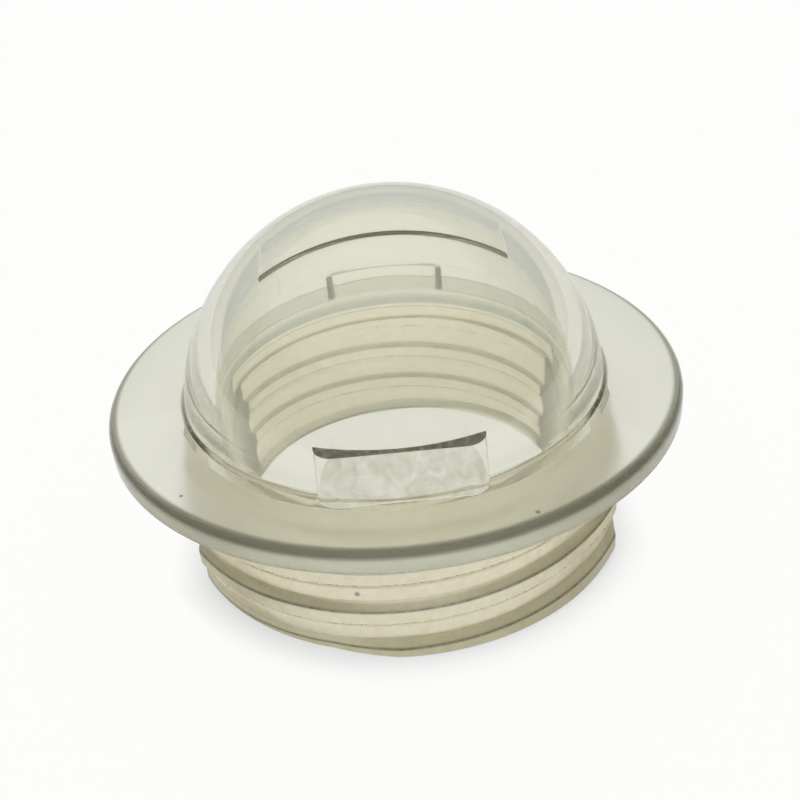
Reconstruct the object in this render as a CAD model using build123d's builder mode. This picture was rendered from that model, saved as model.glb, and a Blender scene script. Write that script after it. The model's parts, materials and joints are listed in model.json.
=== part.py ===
# Screw-in cover for a small appliance lamp, moulded as one piece of clear plastic.
# The axis is Z, the dome points up, and the rim of the threaded collar stands on z = 0.
# The two finger grips face -Y and +Y, and the flats of the collar face -X and +X.
import math
import os

from build123d import *

# Flange
flange_radius = 28.0
flange_thickness = 2.0
flange_edge = 1.0

# Collar below the flange
collar_height = 14.2
bore_radius = 18.0
root_radius = 22.2
neck_radius = 21.2
neck_height = 2.2
half_across_flats = 20.2

# Right-hand thread of one start, with a flat crest between two equal flanks. It begins at a lead
# given in degrees from +X, just left of the grip that faces -Y, which stands at 270 degrees.
thread_pitch = 4.5
thread_depth = 0.7
crest_width = 1.4
thread_flank = 0.85
thread_turns = 2.3
thread_lead = 250
crest_height_at_grip = 5.4
thread_overlap = 0.1

# Dome: a ball whose centre lies a little below the flange's top face
dome_radius = 20.75
dome_centre_drop = 2.55
dome_wall = 3.0
dome_foot = 0.5
step_drop = 1.5

# Finger grips, one on each side of the dome, with a face that leans back
grip_width = 14.6
grip_height = 4.2
grip_top_reach = 20.2
grip_foot_reach = 21.4
grip_corner = 1.8
grip_root = 12.0

# Plate for a marking, on the side of the dome's top that faces -Y: a patch of the dome's own
# ball, shifted forward, so that it rises from its back edge to its front edge
plate_width = 22.0
plate_reach = 6.1
plate_shift = 1.4
plate_root = 8.0

# Heights that follow from these sizes
flange_top = collar_height + flange_thickness
edge_ease = flange_edge * (1 - math.cos(math.pi / 4))
dome_centre = flange_top - dome_centre_drop
dome_top = dome_centre + dome_radius
dome_base_radius = math.sqrt(dome_radius**2 - dome_centre_drop**2)
inner_radius = dome_radius - dome_wall
step_height = flange_top - step_drop
step_radius = math.sqrt(inner_radius**2 - (step_height - dome_centre) ** 2)
crest_radius = root_radius + thread_depth
flank_rise = thread_flank * (1 + thread_overlap / thread_depth)
thread_start = crest_height_at_grip - (1 + (270 - thread_lead) / 360) * thread_pitch

os.makedirs("parts", exist_ok=True)

with BuildPart() as lamp_cover:
    # Collar, flange and dome, turned as one solid body
    with BuildSketch(Plane.XZ) as body_section:
        with BuildLine():
            Polyline(
                (0, 0),
                (root_radius, 0),
                (root_radius, collar_height),
                (flange_radius, collar_height),
                (flange_radius, flange_top - flange_edge),
                (flange_radius - edge_ease, flange_top - edge_ease),
                (flange_radius - flange_edge, flange_top),
                (dome_base_radius, flange_top),
            )
            RadiusArc((dome_base_radius, flange_top), (0, dome_top), -dome_radius)
            Line((0, dome_top), (0, 0))
        make_face()
        upper_corners = body_section.vertices().filter_by_position(
            Axis.Y, flange_top - 0.01, flange_top + 0.01
        )
        chamfer(upper_corners.sort_by(Axis.X)[0], dome_foot)
    revolve(axis=Axis.Z)

    # Thread ridge, wound up the collar from its lead and cut off level with the rim
    with BuildPart(mode=Mode.PRIVATE) as ridge:
        with BuildLine() as thread_path:
            Helix(
                thread_pitch,
                thread_turns * thread_pitch,
                root_radius,
                center=(0, 0, thread_start),
            )
        with BuildSketch(Plane.XZ):
            with BuildLine():
                Polyline(
                    (root_radius - thread_overlap, thread_start + flank_rise),
                    (crest_radius, thread_start),
                    (crest_radius, thread_start - crest_width),
                    (root_radius - thread_overlap, thread_start - crest_width - flank_rise),
                    close=True,
                )
            make_face()
        sweep(path=thread_path.line, is_frenet=True)
    add(ridge.part.rotate(Axis.Z, thread_lead))
    with BuildSketch():
        Circle(flange_radius)
    extrude(amount=-thread_pitch, mode=Mode.SUBTRACT)

    # Neck that keeps the thread clear of the flange's seat
    with BuildSketch(Plane.XY.offset(collar_height - neck_height)):
        Circle(flange_radius)
        Circle(neck_radius, mode=Mode.SUBTRACT)
    extrude(amount=neck_height, mode=Mode.SUBTRACT)

    # Flats that end the thread on both sides, where the halves of the mould part
    with BuildSketch():
        with Locations((flange_radius, 0), (-flange_radius, 0)):
            Rectangle(2 * (flange_radius - half_across_flats), 2 * flange_radius)
    extrude(amount=collar_height, mode=Mode.SUBTRACT)

    # Finger grips: blocks with a flat leaning face, rounded at their upright edges
    with BuildPart(mode=Mode.PRIVATE) as grip:
        with BuildSketch(Plane.YZ):
            with BuildLine():
                Polyline(
                    (grip_root, flange_top),
                    (grip_foot_reach, flange_top),
                    (grip_top_reach, flange_top + grip_height),
                    (grip_root, flange_top + grip_height),
                    close=True,
                )
            make_face()
        extrude(amount=grip_width / 2, both=True)
        face_edges = grip.faces().sort_by(Axis.Y)[-1].edges()
        fillet(face_edges.filter_by(Axis.X, reverse=True), grip_corner)
    add(grip.part)
    add(grip.part.mirror(Plane.XZ))

    # Marking plate, flush with the dome at its back edge and proud at its front
    with BuildPart(mode=Mode.PRIVATE) as plate:
        with Locations((0, -plate_shift, dome_centre)):
            Sphere(dome_radius)
        with Locations((0, -plate_reach / 2, dome_top)):
            Box(plate_width, plate_reach, 2 * plate_root, mode=Mode.INTERSECT)
    add(plate.part)

    # Hollow: a straight bore, a small step, and the inside of the dome
    with BuildSketch(Plane.XZ):
        with BuildLine():
            Polyline(
                (0, 0),
                (bore_radius, 0),
                (bore_radius, step_height),
                (step_radius, step_height),
            )
            RadiusArc((step_radius, step_height), (0, dome_centre + inner_radius), -inner_radius)
            Line((0, dome_centre + inner_radius), (0, 0))
        make_face()
    revolve(axis=Axis.Z, mode=Mode.SUBTRACT)

lamp_cover.part.label = "lamp_cover"
export_step(lamp_cover.part, "parts/lamp_cover.step")
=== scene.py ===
# Clear screw-in cover for a small appliance lamp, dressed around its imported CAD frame.
import json
import math
import random

import bmesh
import bpy
from mathutils import Matrix, Vector


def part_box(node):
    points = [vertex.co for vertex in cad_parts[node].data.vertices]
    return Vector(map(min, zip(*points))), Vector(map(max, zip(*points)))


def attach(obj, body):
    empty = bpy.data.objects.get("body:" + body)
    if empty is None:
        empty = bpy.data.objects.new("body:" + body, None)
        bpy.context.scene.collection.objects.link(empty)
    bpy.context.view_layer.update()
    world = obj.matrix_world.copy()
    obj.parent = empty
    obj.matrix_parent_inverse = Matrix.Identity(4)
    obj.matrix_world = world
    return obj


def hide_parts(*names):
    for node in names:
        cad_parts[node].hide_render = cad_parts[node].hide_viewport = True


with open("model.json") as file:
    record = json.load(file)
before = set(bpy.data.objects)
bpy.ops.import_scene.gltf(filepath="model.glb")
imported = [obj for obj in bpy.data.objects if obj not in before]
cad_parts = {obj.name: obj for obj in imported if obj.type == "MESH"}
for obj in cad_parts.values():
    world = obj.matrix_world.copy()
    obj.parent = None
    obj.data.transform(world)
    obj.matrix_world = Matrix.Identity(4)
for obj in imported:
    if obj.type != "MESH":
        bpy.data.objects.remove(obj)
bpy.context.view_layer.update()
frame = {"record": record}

# Cover: dome, flange, finger grips, marking plate and threaded collar, one piece of clear
# polycarbonate. It is injection moulded in one shot, and the mould's halves part at the flats.
# It screws into the lamp's housing and stands here on the rim of its collar.
MM = 0.001
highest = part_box("lamp_cover")[1]
mounts = {mount["name"]: mount for mount in frame["record"]["mounts"]}
flange_radius = highest.x / MM
dome_top = highest.z / MM
collar_height = mounts["flange_seat"]["pos_m"][2] / MM
bore_radius = mounts["lamp_bore"]["dims"]["r_mm"]
step_height = mounts["lamp_bore"]["dims"]["length_mm"]
crest_radius = mounts["collar_thread"]["dims"]["r_mm"]

flange_thickness = 2.0
flange_edge = 1.0
flange_top = collar_height + flange_thickness
dome_radius = 20.75
dome_centre = dome_top - dome_radius
dome_wall = 3.0
dome_foot = 0.5
inner_radius = dome_radius - dome_wall
half_across_flats = 20.2
neck_radius = 21.2
neck_height = 2.2
thread_top = collar_height - neck_height


def arc(centre_r, centre_z, radius, start, end, steps):
    """Points of a circle in the turning plane, with angles in degrees from outward."""
    angles = [math.radians(start + (end - start) * i / steps) for i in range(steps + 1)]
    return [(centre_r + radius * math.cos(a), centre_z + radius * math.sin(a)) for a in angles]


# Thread: the ridge's section as (stand-out, height above the crest's upper edge), from the top
# down. Its edges and roots are rounded, and the ridge fades in at its lead.
thread_pitch = 4.5
thread_depth = 0.7
thread_turns = 2.3
thread_lead = math.radians(250)
front_grip_angle = math.radians(270)
lead_in = math.radians(16)
crest_width = 1.4
thread_flank = 0.85
crest_height_at_grip = 5.4
thread_start = crest_height_at_grip - thread_pitch * (1 + (front_grip_angle - thread_lead) / math.tau)
root_radius = crest_radius - thread_depth
upper_round, lower_round, root_round = 0.7, 0.12, 1.0
edge_steps = 4
edge_wear = 0.06
flank_turn = math.atan2(thread_depth, thread_flank)
ridge_windings = range(-1, 3)
column_windings = range(-2, 4)
least_cosine = 0.01
random.seed(3)


def crest_edge(size, edge_height, upward):
    """A crest edge's arc, tangent to the crest and to the flank next to it."""
    centre_height = edge_height - upward * size * math.tan(flank_turn / 2)
    return arc(thread_depth - size, centre_height, size, 0, upward * math.degrees(flank_turn), edge_steps)


def root_edge(edge_height, upward):
    """A hollow arc, tangent to the collar and to the flank next to it."""
    centre_height = edge_height + upward * root_round * math.tan(flank_turn / 2)
    end = 180 + upward * math.degrees(flank_turn)
    return arc(root_round, centre_height, root_round, 180, end, edge_steps)


ridge_section = (
    root_edge(thread_flank, 1)
    + crest_edge(upper_round, 0.0, 1)[::-1]
    + crest_edge(lower_round, -crest_width, -1)
    + root_edge(-crest_width - thread_flank, -1)[::-1]
)


def ridge_proud(angle, height):
    """How far the thread stands out of the collar at an angle from +X and a height."""
    proud = 0.0
    for turn in ridge_windings:
        along = angle + turn * math.tau - thread_lead
        above = height - thread_start - thread_pitch * along / math.tau
        fade = min(max(along / lead_in, 0.0), 1.0)
        if along > thread_turns * math.tau:
            fade = 0.0
        for (proud_high, high), (proud_low, low) in zip(ridge_section, ridge_section[1:]):
            if low <= above <= high:
                share = (above - low) / (high - low)
                proud = max(proud, fade * (proud_low + share * (proud_high - proud_low)))
    return proud


def collar_reach(angle, radius):
    """Radius of the collar's outside, which the two flats cut back."""
    return min(radius, half_across_flats / max(abs(math.cos(angle)), least_cosine))


def collar_column(angle):
    """Radius and height down to up along the collar's outside at one angle."""
    points = [(collar_reach(angle, root_radius + ridge_proud(angle, 0.0)), 0.0)]
    for turn in column_windings:
        crest = thread_start + thread_pitch * (turn + (angle - thread_lead) / math.tau)
        for _, above in reversed(ridge_section):
            height = min(max(crest + above, 0.0), thread_top)
            proud = ridge_proud(angle, height)
            if abs(above + crest_width) < lower_round and 0.0 < height < thread_top:
                proud = max(proud - random.uniform(0, edge_wear), 0.0)
            points.append((collar_reach(angle, root_radius + proud), height))
    points.append((collar_reach(angle, root_radius), thread_top))
    points.append((collar_reach(angle, neck_radius), thread_top))
    points.append((collar_reach(angle, neck_radius), collar_height))
    return points


# Turned outline above the collar, with a fillet at the dome's foot, and the hollow with a soft step
flange_edge_steps, foot_steps, dome_steps, step_steps = 10, 8, 48, 10
foot_height = flange_top + dome_foot
foot_centre_radius = math.sqrt((dome_radius + dome_foot) ** 2 - (foot_height - dome_centre) ** 2)
foot_top = math.degrees(math.atan2(foot_height - dome_centre, foot_centre_radius))
foot_round = arc(foot_centre_radius, foot_height, dome_foot, 270, 180 + foot_top, foot_steps)[:-1]
above_collar = (
    [(flange_radius, collar_height)]
    + arc(flange_radius - flange_edge, flange_top - flange_edge, flange_edge, 0, 90, flange_edge_steps)
    + foot_round
    + arc(0, dome_centre, dome_radius, foot_top, 90, dome_steps)[:-1]
)
inner_angle = math.degrees(math.asin((step_height - dome_centre) / inner_radius))
step_radius = math.sqrt(inner_radius**2 - (step_height - dome_centre) ** 2)
step_soft = 0.35
inside = [(bore_radius, 0.0)]
for i in range(step_steps + 1):
    part = i / step_steps
    blend = part * part * (3 - 2 * part)
    radius = bore_radius + (step_radius - bore_radius) * blend
    inside.append((radius, step_height - step_soft * (1 - part)))
inside += arc(0, dome_centre, inner_radius, inner_angle, 90, dome_steps)[1:-1]

# Columns of points stand a degree apart around the axis, and closer where the flats begin
flat_step = 0.5
first_flat, last_flat = (
    math.degrees(math.acos(half_across_flats / radius)) for radius in (neck_radius, crest_radius)
)
fine_count = int((last_flat - first_flat) / flat_step) + 3
fine = [first_flat - flat_step + flat_step * i for i in range(fine_count)]
angles = set(float(i) for i in range(361))
for side in (0, 180):
    angles.update(side + a for a in fine)
    angles.update((side - a) % 360 for a in fine)

body = bmesh.new()
columns = []
for degrees in sorted(angles):
    angle = math.radians(degrees)
    outline = list(reversed(inside)) + collar_column(angle) + above_collar
    columns.append(
        [body.verts.new((r * math.cos(angle) * MM, r * math.sin(angle) * MM, z * MM)) for r, z in outline]
    )
inner_top = body.verts.new((0, 0, (dome_centre + inner_radius) * MM))
outer_top = body.verts.new((0, 0, dome_top * MM))
for left, right in zip(columns, columns[1:]):
    body.faces.new((inner_top, right[0], left[0]))
    body.faces.new((outer_top, left[-1], right[-1]))
    for i in range(len(left) - 1):
        body.faces.new((left[i], right[i], right[i + 1], left[i + 1]))
weld_distance, sliver_size = 0.002, 0.001
bmesh.ops.remove_doubles(body, verts=body.verts, dist=weld_distance * MM)
bmesh.ops.dissolve_degenerate(body, edges=body.edges, dist=sliver_size * MM)
bmesh.ops.recalc_face_normals(body, faces=body.faces)


def new_object(name, bm):
    """A linked mesh object made from a bmesh."""
    mesh = bpy.data.meshes.new(name)
    bm.to_mesh(mesh)
    bm.free()
    made = bpy.data.objects.new(name, mesh)
    bpy.context.scene.collection.objects.link(made)
    return made


def prism(name, outline, low, high, place):
    """A solid between two levels over an outline, with place turning (u, v, level) to a point."""
    bm = bmesh.new()
    rings = [[bm.verts.new(Vector(place(u, v, level)) * MM) for u, v in outline] for level in (low, high)]
    bm.faces.new(list(reversed(rings[0])))
    bm.faces.new(rings[1])
    for i in range(len(outline)):
        j = (i + 1) % len(outline)
        bm.faces.new((rings[0][i], rings[0][j], rings[1][j], rings[1][i]))
    bmesh.ops.recalc_face_normals(bm, faces=bm.faces)
    return new_object(name, bm)


def combine(target, tool, operation):
    """Joins a tool solid to the target or cuts it away, and drops the tool."""
    step = target.modifiers.new("combine", "BOOLEAN")
    step.object = tool
    step.operation = operation
    step.solver = "EXACT"
    bpy.context.view_layer.update()
    mesh = bpy.data.meshes.new_from_object(target.evaluated_get(bpy.context.evaluated_depsgraph_get()))
    target.modifiers.clear()
    old = target.data
    target.data = mesh
    bpy.data.meshes.remove(old)
    bpy.data.objects.remove(tool)


cover = new_object("cover", body)

# Finger grips: blocks with a flat face that leans back, rounded at their upright edges. Their
# roots end in the middle of the dome's wall.
grip_half_width = 7.3
grip_height = 4.2
grip_top_reach = 20.2
grip_foot_reach = 21.4
grip_corner = 1.8
grip_corner_steps = 12
grip_root = 12.0
grip_sink = 0.2
lean = (grip_foot_reach - grip_top_reach) / grip_height
ball_segments, ball_rings = 96, 48


def grip_outline(reach):
    """Half a grip's outline and its mirror, seen from above, out to one reach."""
    corner_x, corner_y = grip_half_width - grip_corner, reach - grip_corner
    half = [(grip_half_width, grip_root)] + arc(corner_x, corner_y, grip_corner, 0, 90, grip_corner_steps)
    return half + [(-x, y) for x, y in reversed(half)]


for side in (-1, 1):
    grip = prism(
        "grip", grip_outline(grip_top_reach), -grip_sink, grip_height,
        lambda u, v, level: (
            u,
            side * (v + (lean * (grip_height - level) if v > grip_root else 0)),
            flange_top + level,
        ),
    )
    ball = bmesh.new()
    wall_middle = (inner_radius + dome_wall / 2) * MM
    bmesh.ops.create_uvsphere(ball, u_segments=ball_segments, v_segments=ball_rings, radius=wall_middle)
    bmesh.ops.translate(ball, verts=ball.verts, vec=(0, 0, dome_centre * MM))
    combine(grip, new_object("wall_middle", ball), "DIFFERENCE")
    combine(cover, grip, "UNION")

# Marking plate: a patch of the dome's ball, shifted forward so that it rises from flush at its
# back edge to proud at its front edge. Its edge is rounded, and it is left bare.
plate_half_width = 11.0
plate_reach = 6.1
plate_shift = 1.4
plate_skin = 1.5
plate_round = 0.14
plate_round_steps = 4
plate_columns, plate_rows = 20, 10
rounding = [
    (plate_round * (1 - math.cos(a)), plate_round * (1 - math.sin(a)))
    for a in (math.pi / 2 * i / plate_round_steps for i in range(plate_round_steps + 1))
]
edge_drop = {round(back, 4): drop for back, drop in rounding}
xs = [-plate_half_width + back for back, _ in rounding]
xs += [(plate_half_width - plate_round) * i / plate_columns for i in range(1 - plate_columns, plate_columns)]
xs += [-x for x in reversed(xs[: len(rounding)])]
ys = [-plate_reach + back for back, _ in rounding]
ys += [-(plate_reach - plate_round) * i / plate_rows for i in range(plate_rows - 1, -1, -1)]
plate = bmesh.new()
layers = []
for skin in (0.0, plate_skin):
    grid = []
    for y in ys:
        row = []
        for x in xs:
            z = dome_centre + math.sqrt(dome_radius**2 - x**2 - (y + plate_shift) ** 2) - skin
            inset = round(min(plate_half_width - abs(x), plate_reach + y), 4)
            z -= edge_drop.get(inset, 0.0) if skin == 0 else 0.0
            row.append(plate.verts.new((x * MM, y * MM, z * MM)))
        grid.append(row)
    layers.append(grid)
    for front, rear in zip(grid, grid[1:]):
        for i in range(len(xs) - 1):
            plate.faces.new((front[i], front[i + 1], rear[i + 1], rear[i]))


def skirt(upper, lower):
    """Closes the plate's edge between its upper and lower rows of points."""
    for i in range(len(upper) - 1):
        plate.faces.new((upper[i], upper[i + 1], lower[i + 1], lower[i]))


top_grid, under_grid = layers
for end in (0, -1):
    skirt(top_grid[end], under_grid[end])
for end in (0, -1):
    skirt([row[end] for row in top_grid], [row[end] for row in under_grid])
bmesh.ops.recalc_face_normals(plate, faces=plate.faces)
combine(cover, new_object("plate", plate), "UNION")

crease_angle = math.radians(14)
cover.data.polygons.foreach_set("use_smooth", [True] * len(cover.data.polygons))
cover.data.set_sharp_from_angle(angle=crease_angle)


def linear(hex_colour):
    """An sRGB hex colour as linear RGBA."""
    parts = [int(hex_colour[i : i + 2], 16) / 255 for i in (1, 3, 5)]
    return [c / 12.92 if c <= 0.04045 else ((c + 0.055) / 1.055) ** 2.4 for c in parts] + [1.0]


def add(tree, kind, settings):
    """Adds a node: each setting is its own, a value for a socket, or an output to link to a socket."""
    node = tree.nodes.new(kind)
    for key, value in settings.items():
        if isinstance(value, bpy.types.NodeSocket):
            tree.links.new(value, node.inputs[key])
        elif isinstance(key, int) or key in node.inputs:
            node.inputs[key].default_value = value
        else:
            setattr(node, key, value)
    return node


# Clear polycarbonate, injection moulded: glossy, bends light strongly and holds a faint smoky
# yellow that deepens where the eye looks along the wall. The moulding leaves a slow ripple.
refraction = 1.585
clear_share = 0.93
smoke_density = 30.0
ripple_width, ripple_depth, ripple_strength = 7.0, 0.05, 0.05
haze_width, least_rough, most_rough = 3.0, 0.015, 0.06
plastic = bpy.data.materials.new("clear_polycarbonate_moulded")
plastic.use_nodes = True
tree = plastic.node_tree
tree.nodes.clear()
spot = add(tree, "ShaderNodeTexCoord", {}).outputs["Object"]
x_place, y_place, z_place = add(tree, "ShaderNodeSeparateXYZ", {"Vector": spot}).outputs
level = add(tree, "ShaderNodeVectorMath", {"operation": "MULTIPLY", 0: spot, 1: (1, 1, 0)})
from_axis = add(tree, "ShaderNodeVectorMath", {"operation": "LENGTH", 0: level.outputs[0]}).outputs["Value"]
aside = add(tree, "ShaderNodeMath", {"operation": "ABSOLUTE", 0: x_place})
ripple = add(tree, "ShaderNodeTexNoise", {"Vector": spot, "Scale": 1 / (ripple_width * MM), "Detail": 1.0})
bump = add(tree, "ShaderNodeBump", {
    "Height": ripple.outputs["Fac"],
    "Strength": ripple_strength,
    "Distance": ripple_depth * MM,
})
haze = add(tree, "ShaderNodeTexNoise", {"Vector": spot, "Scale": 1 / (haze_width * MM), "Detail": 3.0})
gloss = add(tree, "ShaderNodeMapRange", {
    "Value": haze.outputs["Fac"],
    "From Min": 0.3,
    "From Max": 0.7,
    "To Min": least_rough,
    "To Max": most_rough,
})

# The thread's lines are painted shade: dark lines stand for the shade that the thread's edges
# show. The height above the crest's upper edge, unwound from the helix, is folded at each line,
# and a fine grain breaks the lines up. Each has its height, half width and least and most strength.
grain_width = 0.45
root_margin = 0.05
climb_start = (thread_pitch * thread_lead / math.tau - thread_start) * MM
around = add(tree, "ShaderNodeMath", {"operation": "ARCTAN2", 0: y_place, 1: x_place})
climb = add(tree, "ShaderNodeMath", {
    "operation": "MULTIPLY_ADD",
    0: around.outputs[0],
    1: -thread_pitch * MM / math.tau,
    2: climb_start,
})
unwound = add(tree, "ShaderNodeMath", {"operation": "ADD", 0: z_place, 1: climb.outputs[0]})
grain = add(tree, "ShaderNodeTexNoise", {"Vector": spot, "Scale": 1 / (grain_width * MM), "Detail": 3.0})
below_neck = add(tree, "ShaderNodeMath", {"operation": "LESS_THAN", 0: z_place, 1: thread_top * MM})
past_root = add(tree, "ShaderNodeMath", {
    "operation": "GREATER_THAN",
    0: from_axis,
    1: (root_radius - root_margin) * MM,
})
on_thread = add(tree, "ShaderNodeMath", {
    "operation": "MULTIPLY",
    0: below_neck.outputs[0],
    1: past_root.outputs[0],
})
edge_lines = []
thread_shade = None
for line_height, half_width, least, most in (
    (0.0, 0.26, 0.8, 1.0),
    (thread_flank, 0.1, 0.1, 0.5),
    (-crest_width, 0.12, -0.8, 1.0),
):
    shifted = add(tree, "ShaderNodeMath", {
        "operation": "SUBTRACT",
        0: unwound.outputs[0],
        1: line_height * MM,
    })
    folded = add(tree, "ShaderNodeMath", {
        "operation": "PINGPONG",
        0: shifted.outputs[0],
        1: thread_pitch * MM / 2,
    })
    line = add(tree, "ShaderNodeMapRange", {
        "interpolation_type": "SMOOTHSTEP",
        "Value": folded.outputs[0],
        "From Min": 0.0,
        "From Max": half_width * MM,
        "To Min": 1.0,
        "To Max": 0.0,
    })
    broken = add(tree, "ShaderNodeMapRange", {
        "Value": grain.outputs["Fac"],
        "From Min": 0.35,
        "From Max": 0.65,
        "To Min": least,
        "To Max": most,
    })
    # The line's painted shade, broken up by the grain
    line_shade = add(tree, "ShaderNodeMath", {
        "operation": "MULTIPLY",
        "use_clamp": True,
        0: line.outputs[0],
        1: broken.outputs[0],
    })
    edge_lines.append(line)
    if thread_shade:
        line_shade = add(tree, "ShaderNodeMath", {"operation": "MAXIMUM", 0: thread_shade.outputs[0], 1: line_shade.outputs[0]})
    thread_shade = line_shade

# The mould leaves a fine matt grain on the collar's outside and on the flange's seat. The crest's
# lower edge is polished in dashes, between the dashes of painted shade.
matt_rough = 0.34
outside_from = bore_radius + 1.0
matt_to = collar_height + 0.2
off_bore = add(tree, "ShaderNodeMath", {
    "operation": "GREATER_THAN",
    0: from_axis,
    1: outside_from * MM,
})
below_seat = add(tree, "ShaderNodeMath", {
    "operation": "LESS_THAN",
    0: z_place,
    1: matt_to * MM,
})
matt_share = add(tree, "ShaderNodeMath", {
    "operation": "MULTIPLY",
    0: off_bore.outputs[0],
    1: below_seat.outputs[0],
})
dash = add(tree, "ShaderNodeMapRange", {
    "Value": grain.outputs["Fac"],
    "From Min": 0.42,
    "From Max": 0.5,
    "To Min": 1.0,
    "To Max": 0.0,
})
polish = add(tree, "ShaderNodeMath", {
    "operation": "MULTIPLY",
    0: edge_lines[-1].outputs[0],
    1: dash.outputs[0],
})
thread_polish = add(tree, "ShaderNodeMath", {
    "operation": "MULTIPLY",
    0: polish.outputs[0],
    1: on_thread.outputs[0],
})
still_matt = add(tree, "ShaderNodeMath", {
    "operation": "SUBTRACT",
    "use_clamp": True,
    0: matt_share.outputs[0],
    1: thread_polish.outputs[0],
})
roughness = add(tree, "ShaderNodeMath", {
    "operation": "MULTIPLY_ADD",
    0: still_matt.outputs[0],
    1: matt_rough,
    2: gloss.outputs[0],
})

# Colour: clear on the dome and flange. On the matt collar a straw colour is painted light, standing
# for warm light bounced up from the front, and a mottle varies it at random.
mottle_width = 0.9
warm_light_to = collar_height - 0.1
mottle = add(tree, "ShaderNodeTexNoise", {
    "Vector": spot,
    "Scale": 1 / (mottle_width * MM),
    "Detail": 5.0,
    "Roughness": 0.7,
})
mottle_share = add(tree, "ShaderNodeMapRange", {
    "Value": mottle.outputs["Fac"],
    "From Min": 0.35,
    "From Max": 0.65,
})
# Painted light: the straw colour stands for warm light from the front, and the mottle is random tone
collar_warm_light_tint = add(tree, "ShaderNodeMix", {
    "data_type": "RGBA",
    0: mottle_share.outputs[0],
    6: linear("#eadfbe"),
    7: linear("#fdf4d6"),
})
under_seat = add(tree, "ShaderNodeMath", {
    "operation": "LESS_THAN",
    0: z_place,
    1: warm_light_to * MM,
})
on_outside = add(tree, "ShaderNodeMath", {
    "operation": "MULTIPLY",
    0: off_bore.outputs[0],
    1: under_seat.outputs[0],
})
tint = add(tree, "ShaderNodeMix", {
    "data_type": "RGBA",
    0: on_outside.outputs[0],
    6: linear("#f8f9f1"),
    7: collar_warm_light_tint.outputs[2],
})

# Painted shade: the dark band that the flange's rounded edge shows along its top is painted dark grey
edge_shade_radii = (flange_radius - 1.2 * flange_edge, flange_radius - 0.7 * flange_edge)
edge_shade_heights = (flange_top - 0.85 * flange_edge, flange_top - 0.35 * flange_edge)
near_edge = add(tree, "ShaderNodeMapRange", {
    "interpolation_type": "SMOOTHSTEP",
    "Value": from_axis,
    "From Min": edge_shade_radii[0] * MM,
    "From Max": edge_shade_radii[1] * MM,
})
upper_edge = add(tree, "ShaderNodeMapRange", {
    "interpolation_type": "SMOOTHSTEP",
    "Value": z_place,
    "From Min": edge_shade_heights[0] * MM,
    "From Max": edge_shade_heights[1] * MM,
})

# Painted shade: the dark crescent along the front grip's top is painted dark grey in patches
patch_width = 0.5
grip_top_layer = 0.02
grip_top = flange_top + grip_height
grip_top_back = math.sqrt(dome_radius**2 - (grip_top - dome_centre) ** 2 - grip_half_width**2)
patch_noise = add(tree, "ShaderNodeTexNoise", {"Vector": spot, "Scale": 1 / (patch_width * MM), "Detail": 4.0})
patchy_share = add(tree, "ShaderNodeMapRange", {
    "Value": patch_noise.outputs["Fac"],
    "From Min": 0.25,
    "From Max": 0.5,
    "To Min": 0.6,
})
on_grip_top = add(tree, "ShaderNodeMath", {
    "operation": "COMPARE",
    0: z_place,
    1: grip_top * MM,
    2: grip_top_layer * MM,
})
in_front = add(tree, "ShaderNodeMath", {"operation": "LESS_THAN", 0: y_place, 1: -grip_top_back * MM})

# A thin dark line runs along the dome's foot on its left and right, densest towards the front
foot_mark_radius = foot_centre_radius - 0.3
foot_mark_half_width = 0.17
foot_mark_height = flange_top + 0.15
foot_mark_half_height = 0.25
foot_mark_start, foot_mark_full = 16.4, 17.8
foot_mark_dense, foot_mark_end = -9, -1
at_foot = add(tree, "ShaderNodeMath", {
    "operation": "COMPARE",
    0: from_axis,
    1: foot_mark_radius * MM,
    2: foot_mark_half_width * MM,
})
low_foot = add(tree, "ShaderNodeMath", {
    "operation": "COMPARE",
    0: z_place,
    1: foot_mark_height * MM,
    2: foot_mark_half_height * MM,
})
to_side = add(tree, "ShaderNodeMapRange", {
    "interpolation_type": "SMOOTHSTEP",
    "Value": aside.outputs[0],
    "From Min": foot_mark_start * MM,
    "From Max": foot_mark_full * MM,
})
to_front = add(tree, "ShaderNodeMapRange", {
    "interpolation_type": "SMOOTHSTEP",
    "Value": y_place,
    "From Min": foot_mark_dense * MM,
    "From Max": foot_mark_end * MM,
    "To Min": 1.0,
    "To Max": 0.0,
})

# The front grip's face is dulled by fingers
smear_width = 1.6
face_margin = 0.05
past_dome = add(tree, "ShaderNodeMath", {
    "operation": "LESS_THAN",
    0: y_place,
    1: -(grip_top_reach - face_margin) * MM,
})
above_flange = add(tree, "ShaderNodeMath", {
    "operation": "GREATER_THAN",
    0: z_place,
    1: (flange_top + face_margin) * MM,
})
smear = add(tree, "ShaderNodeTexNoise", {
    "Vector": spot,
    "Scale": 1 / (smear_width * MM),
    "Detail": 4.0,
    "Distortion": 1.2,
})
smear_share = add(tree, "ShaderNodeMapRange", {
    "Value": smear.outputs["Fac"],
    "From Min": 0.35,
    "From Max": 0.7,
    "To Min": 0.35,
    "To Max": 1.0,
})

# Painted shade: the rounded ends of the grip behind, which show dark through the dome, are painted dark
end_inset, end_half_width, end_margin = 0.2, 0.22, 0.3
behind = add(tree, "ShaderNodeMath", {"operation": "GREATER_THAN", 0: y_place, 1: grip_top_back * MM})
grip_end = add(tree, "ShaderNodeMath", {
    "operation": "COMPARE",
    0: aside.outputs[0],
    1: (grip_half_width - end_inset) * MM,
    2: end_half_width * MM,
})
in_grip = add(tree, "ShaderNodeMath", {
    "operation": "COMPARE",
    0: z_place,
    1: (flange_top + grip_height / 2) * MM,
    2: (grip_height / 2 - end_margin) * MM,
})

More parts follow.
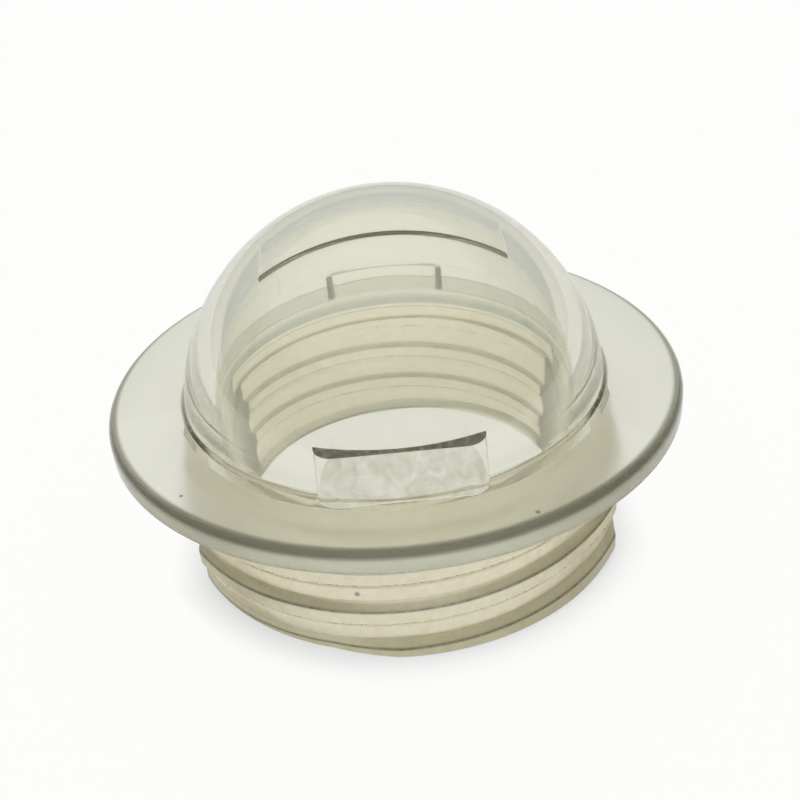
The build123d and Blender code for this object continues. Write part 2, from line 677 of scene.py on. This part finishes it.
# Each mark's colour goes over the last one, where all of its masks meet
for mark_colour, masks in (
    # Painted shade: the dark band along the flange's rounded edge
    ("#787862", (near_edge, upper_edge)),
    # Painted shade: the dark crescent on the front grip's top
    ("#3a3a2c", (on_grip_top, in_front, patchy_share)),
    # Painted shade: the dark lines along the thread's edges
    ("#34342a", (thread_shade, on_thread)),
    ("#2c2c24", (at_foot, low_foot, to_side, to_front, patchy_share)),
    ("#bcbba6", (past_dome, above_flange, smear_share)),
    # Painted shade: the dark ends of the grip behind
    ("#2e2e24", (behind, grip_end, in_grip)),
):
    mark = masks[0]
    for mask in masks[1:]:
        mark = add(tree, "ShaderNodeMath", {"operation": "MULTIPLY", 0: mark.outputs[0], 1: mask.outputs[0]})
    tint = add(tree, "ShaderNodeMix", {
        "data_type": "RGBA",
        0: mark.outputs[0],
        6: tint.outputs[2],
        7: linear(mark_colour),
    })

# A few dark specks are moulded in: two in the flange and one in the collar, as place and radius
speck_core, speck_strength = 0.5, 0.9
for speck_place, speck_radius in (
    ((-19.15, -17.56, flange_top), 0.25),
    ((10.65, -24.41, flange_top), 0.3),
    ((-4.95, -21.74, 6.83), 0.35),
):
    away = add(tree, "ShaderNodeVectorMath", {
        "operation": "DISTANCE",
        0: spot,
        1: [c * MM for c in speck_place],
    })
    near = add(tree, "ShaderNodeMapRange", {
        "Value": away.outputs["Value"],
        "From Min": speck_core * speck_radius * MM,
        "From Max": speck_radius * MM,
        "To Min": speck_strength,
        "To Max": 0.0,
    })
    tint = add(tree, "ShaderNodeMix", {
        "data_type": "RGBA",
        0: near.outputs[0],
        6: tint.outputs[2],
        7: linear("#4a4438"),
    })

shader = add(tree, "ShaderNodeBsdfPrincipled", {
    "Base Color": tint.outputs[2],
    "Roughness": roughness.outputs[0],
    "Normal": bump.outputs["Normal"],
    "IOR": refraction,
    "Transmission Weight": clear_share,
})
path = add(tree, "ShaderNodeLightPath", {})
let_through = add(tree, "ShaderNodeBsdfTransparent", {"Color": linear("#e6e5d8")})
mixed = add(tree, "ShaderNodeMixShader", {
    0: path.outputs["Is Shadow Ray"],
    1: shader.outputs[0],
    2: let_through.outputs[0],
})
smoke = add(tree, "ShaderNodeVolumeAbsorption", {"Color": linear("#b4b376"), "Density": smoke_density})
add(tree, "ShaderNodeOutputMaterial", {"Surface": mixed.outputs[0], "Volume": smoke.outputs[0]})
cover.data.materials.clear()
cover.data.materials.append(plastic)

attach(cover, "root")
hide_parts("lamp_cover")

# Floor: a sheet of white paper that the cover stands on, wide enough to fill the view. It is
# darker close under the rim, where little light gets in.
floor_half = 900 * MM
floor_drop = 0.05 * MM
contact_reach = 4 * MM
contact_shade = -0.5
seen_white, seen_through_white = 0.95, 0.81
sheet = bmesh.new()
corners = [(-1, -1), (1, -1), (1, 1), (-1, 1)]
sheet.faces.new([sheet.verts.new((x * floor_half, y * floor_half, -floor_drop)) for x, y in corners])
floor = new_object("floor", sheet)

# White paper: matt and a little warm, and white where the eye sees it, also through the plastic
paper = bpy.data.materials.new("white_paper")
paper.use_nodes = True
tree = paper.node_tree
tree.nodes.clear()
path = add(tree, "ShaderNodeLightPath", {})
through = add(tree, "ShaderNodeMath", {
    "operation": "MAXIMUM",
    0: path.outputs["Is Glossy Ray"],
    1: path.outputs["Is Transmission Ray"],
})
through_share = add(tree, "ShaderNodeMath", {
    "operation": "MULTIPLY",
    0: through.outputs[0],
    1: seen_through_white,
})
direct_share = add(tree, "ShaderNodeMath", {
    "operation": "MULTIPLY",
    0: path.outputs["Is Camera Ray"],
    1: seen_white,
})
white_share = add(tree, "ShaderNodeMath", {
    "operation": "MAXIMUM",
    0: through_share.outputs[0],
    1: direct_share.outputs[0],
})
open_share = add(tree, "ShaderNodeAmbientOcclusion", {"samples": 8, "Distance": contact_reach})
contact = add(tree, "ShaderNodeMapRange", {
    "Value": open_share.outputs["AO"],
    "To Min": contact_shade,
    "To Max": 0.0,
})
shade = add(tree, "ShaderNodeMath", {
    "operation": "MULTIPLY_ADD",
    0: contact.outputs[0],
    1: path.outputs["Is Camera Ray"],
    2: 1.0,
})
matt = add(tree, "ShaderNodeBsdfDiffuse", {"Color": linear("#f2ebd2")})
bright = add(tree, "ShaderNodeEmission", {"Strength": shade.outputs[0]})
mixed = add(tree, "ShaderNodeMixShader", {
    0: white_share.outputs[0],
    1: matt.outputs[0],
    2: bright.outputs[0],
})
add(tree, "ShaderNodeOutputMaterial", {"Surface": mixed.outputs[0]})
floor.data.materials.append(paper)

# Light: a broad round soft box overhead, and a room that is pale above and behind and dim in
# front. The eye sees the room white, and partly so through the plastic.
brightest_way = (0.0, 0.35, 0.937)
room_dim, room_gain, room_rise = 0.35, 0.6, 2.0
room_through_white = 0.4
world = bpy.data.worlds.new("studio")
world.use_nodes = True
bpy.context.scene.world = world
tree = world.node_tree
tree.nodes.clear()
direction = add(tree, "ShaderNodeTexCoord", {})
toward = add(tree, "ShaderNodeVectorMath", {
    "operation": "DOT_PRODUCT",
    0: direction.outputs["Generated"],
    1: brightest_way,
})
height = add(tree, "ShaderNodeMapRange", {
    "Value": toward.outputs["Value"],
    "From Min": -0.15,
    "From Max": 1.0,
})
rise = add(tree, "ShaderNodeMath", {"operation": "POWER", 0: height.outputs[0], 1: room_rise})
glow = add(tree, "ShaderNodeMath", {
    "operation": "MULTIPLY_ADD",
    0: rise.outputs[0],
    1: room_gain,
    2: room_dim,
})
path = add(tree, "ShaderNodeLightPath", {})
through_share = add(tree, "ShaderNodeMath", {
    "operation": "MULTIPLY",
    0: path.outputs["Is Transmission Ray"],
    1: room_through_white,
})
white_share = add(tree, "ShaderNodeMath", {
    "operation": "MAXIMUM",
    0: path.outputs["Is Camera Ray"],
    1: through_share.outputs[0],
})
seen = add(tree, "ShaderNodeMix", {
    "data_type": "FLOAT",
    0: white_share.outputs[0],
    2: glow.outputs[0],
    3: 1.0,
})
sky = add(tree, "ShaderNodeBackground", {"Color": linear("#ffffff"), "Strength": seen.outputs[0]})
add(tree, "ShaderNodeOutputWorld", {"Surface": sky.outputs[0]})

key = bpy.data.lights.new("soft_box", "AREA")
key.shape = "DISK"
key.size = 1200 * MM
key.energy = 0.8
soft_box = bpy.data.objects.new("soft_box", key)
soft_box.location = (-60 * MM, 60 * MM, 500 * MM)
soft_box_aim = Vector((0, 0, 15 * MM)) - soft_box.location
soft_box.rotation_euler = soft_box_aim.to_track_quat("-Z", "Y").to_euler()
bpy.context.scene.collection.objects.link(soft_box)
light_bounces = 24
bpy.context.scene.cycles.max_bounces = light_bounces
bpy.context.scene.cycles.transmission_bounces = light_bounces

# Camera: close above the front edge, turned a little about its line of sight.
image_size = 800
flange_centre_pixel = (392.73, 370.85)
focal_pixels = 1160.73
camera_distance = 114.8
elevation = math.radians(30.82)
roll = math.radians(-5.41)
camera_data = bpy.data.cameras.new("camera")
camera_data.sensor_width = 36.0
camera_data.lens = focal_pixels / image_size * camera_data.sensor_width
camera_data.clip_start = 1 * MM
camera_data.clip_end = 10.0
camera = bpy.data.objects.new("camera", camera_data)
bpy.context.scene.collection.objects.link(camera)
back = Vector((0, -math.cos(elevation), math.sin(elevation)))
level_right = Vector((1, 0, 0))
level_up = back.cross(level_right)
right = math.cos(roll) * level_right + math.sin(roll) * level_up
up = -math.sin(roll) * level_right + math.cos(roll) * level_up
shift_x, shift_y = ((pixel - image_size / 2) / focal_pixels for pixel in flange_centre_pixel)
sight = Vector((shift_x, -shift_y, -1)).normalized()
turn = Vector((0, 0, -1)).rotation_difference(sight).to_matrix()
orientation = (turn @ Matrix((right, up, back))).transposed()
stand_point = Vector((0, 0, flange_top * MM)) + back * camera_distance * MM
camera.matrix_world = Matrix.Translation(stand_point) @ orientation.to_4x4()
bpy.context.scene.camera = camera
bpy.context.scene.view_settings.view_transform = "Standard"
